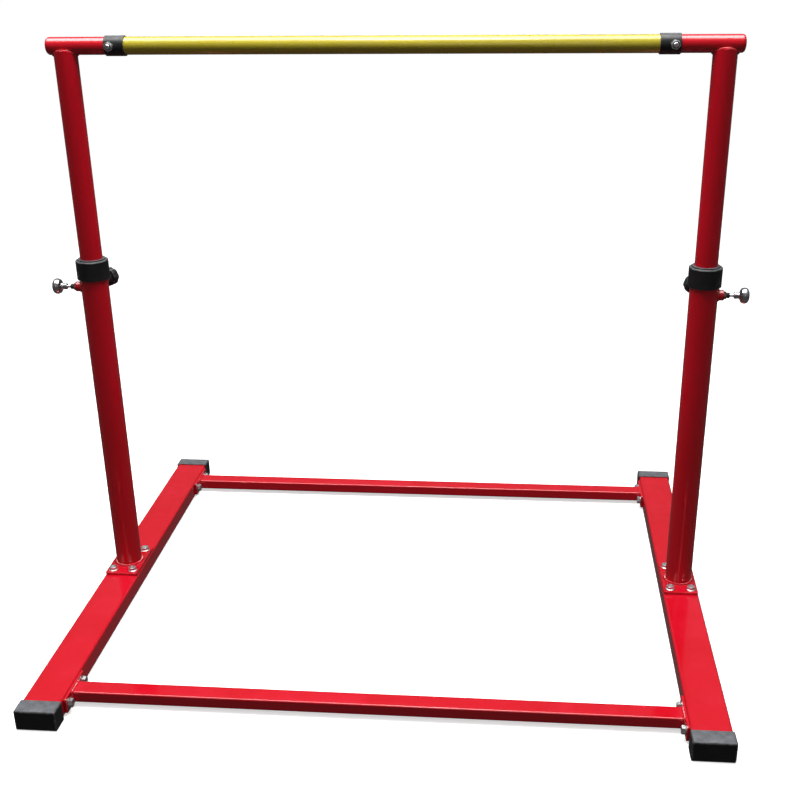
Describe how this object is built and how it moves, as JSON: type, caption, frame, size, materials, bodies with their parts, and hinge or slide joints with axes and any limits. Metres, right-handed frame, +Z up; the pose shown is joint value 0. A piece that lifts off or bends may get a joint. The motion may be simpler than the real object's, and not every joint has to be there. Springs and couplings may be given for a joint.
{
  "type": "gymnastics kip bar",
  "caption": "Free-standing gymnastics kip bar for children: a flat bolted base, two telescopic posts with pull pins and clamp screws, and a round bar.",
  "frame": {"origin": "on the floor, midway between the two posts", "axes": "+X along the bar to the right-hand post, -Y to the front, +Z up"},
  "size_m": [1.51, 1.209, 1.26],
  "materials": {
    "red_powder_coat": "glossy red powder coat on steel tube",
    "yellow_coating": "satin yellow coating on a steel tube",
    "black_plastic": "moulded black plastic, satin",
    "zinc_plate": "bright zinc-plated steel",
    "dark_steel": "dark oiled steel",
    "chrome_plate": "polished chrome plate on turned steel"
  },
  "bodies": {
    "base_frame": {"left_rail": "red_powder_coat", "left_front_cap": "black_plastic", "left_rear_cap": "black_plastic", "right_rail": "red_powder_coat", "right_front_cap": "black_plastic", "right_rear_cap": "black_plastic", "front_crossbar": "red_powder_coat", "rear_crossbar": "red_powder_coat", "left_plate_bolt_front_outer": "zinc_plate", "left_plate_bolt_front_inner": "zinc_plate", "front_left_flange_bolt_front": "zinc_plate", "front_left_flange_bolt_rear": "zinc_plate", "left_plate_bolt_rear_outer": "zinc_plate", "left_plate_bolt_rear_inner": "zinc_plate", "rear_left_flange_bolt_front": "zinc_plate", "rear_left_flange_bolt_rear": "zinc_plate", "right_plate_bolt_front_outer": "zinc_plate", "right_plate_bolt_front_inner": "zinc_plate", "front_right_flange_bolt_front": "zinc_plate", "front_right_flange_bolt_rear": "zinc_plate", "right_plate_bolt_rear_outer": "zinc_plate", "right_plate_bolt_rear_inner": "zinc_plate", "rear_right_flange_bolt_front": "zinc_plate", "rear_right_flange_bolt_rear": "zinc_plate", "left_base_plate": "red_powder_coat", "left_lower_tube": "red_powder_coat", "left_pin_boss": "red_powder_coat", "left_clamp_boss": "red_powder_coat", "left_collar": "black_plastic", "left_pin_barrel": "dark_steel", "left_pin_spring": "dark_steel", "right_base_plate": "red_powder_coat", "right_lower_tube": "red_powder_coat", "right_pin_boss": "red_powder_coat", "right_clamp_boss": "red_powder_coat", "right_collar": "black_plastic", "right_pin_barrel": "dark_steel", "right_pin_spring": "dark_steel"},
    "bar_carriage": {"left_upper_tube": "red_powder_coat", "left_stub": "red_powder_coat", "left_stub_plug": "red_powder_coat", "left_bar_sleeve": "black_plastic", "left_bar_bolt": "zinc_plate", "left_bar_nut": "zinc_plate", "right_upper_tube": "red_powder_coat", "right_stub": "red_powder_coat", "right_stub_plug": "red_powder_coat", "right_bar_sleeve": "black_plastic", "right_bar_bolt": "zinc_plate", "right_bar_nut": "zinc_plate", "bar": "yellow_coating"},
    "left_pull_pin": {"left_pin_plunger": "zinc_plate", "left_pin_knob": "chrome_plate"},
    "left_clamp_carrier": {"left_clamp_washer": "zinc_plate"},
    "left_clamp_screw": {"left_clamp_knob": "black_plastic"},
    "right_pull_pin": {"right_pin_plunger": "zinc_plate", "right_pin_knob": "chrome_plate"},
    "right_clamp_carrier": {"right_clamp_washer": "zinc_plate"},
    "right_clamp_screw": {"right_clamp_knob": "black_plastic"}
  },
  "joints": [
    {"name": "height_adjust", "type": "slide", "parent": "base_frame", "child": "bar_carriage", "axis": [0, 0, 1], "range_m": [-0.3, 0.2]},
    {"name": "left_pin_pull", "type": "slide", "parent": "base_frame", "child": "left_pull_pin", "axis": [-1, 0, 0], "range_m": [0, 0.01], "stiffness_N_per_m": 600, "springref_m": -0.015, "deforming": ["left_pin_spring"]},
    {"name": "left_clamp_advance", "type": "slide", "parent": "base_frame", "child": "left_clamp_carrier", "axis": [0.2588, 0.9659, 0], "range_m": [0, 0.0025]},
    {"name": "left_clamp_turn", "type": "hinge", "parent": "left_clamp_carrier", "child": "left_clamp_screw", "pos_m": [-0.64577, 0.05313, 0.744], "axis": [0.2588, 0.9659, 0], "range_deg": [0, 720]},
    {"name": "right_pin_pull", "type": "slide", "parent": "base_frame", "child": "right_pull_pin", "axis": [1, 0, 0], "range_m": [0, 0.01], "stiffness_N_per_m": 600, "springref_m": -0.015, "deforming": ["right_pin_spring"]},
    {"name": "right_clamp_advance", "type": "slide", "parent": "base_frame", "child": "right_clamp_carrier", "axis": [-0.2588, 0.9659, 0], "range_m": [0, 0.0025]},
    {"name": "right_clamp_turn", "type": "hinge", "parent": "right_clamp_carrier", "child": "right_clamp_screw", "pos_m": [0.64577, 0.05313, 0.744], "axis": [-0.2588, 0.9659, 0], "range_deg": [0, 720]}
  ],
  "couplings": [
    {"joint": "left_clamp_turn", "follows": "left_clamp_advance", "rad_per_m": 5026.5},
    {"joint": "right_clamp_turn", "follows": "right_clamp_advance", "rad_per_m": 5026.5}
  ]
}
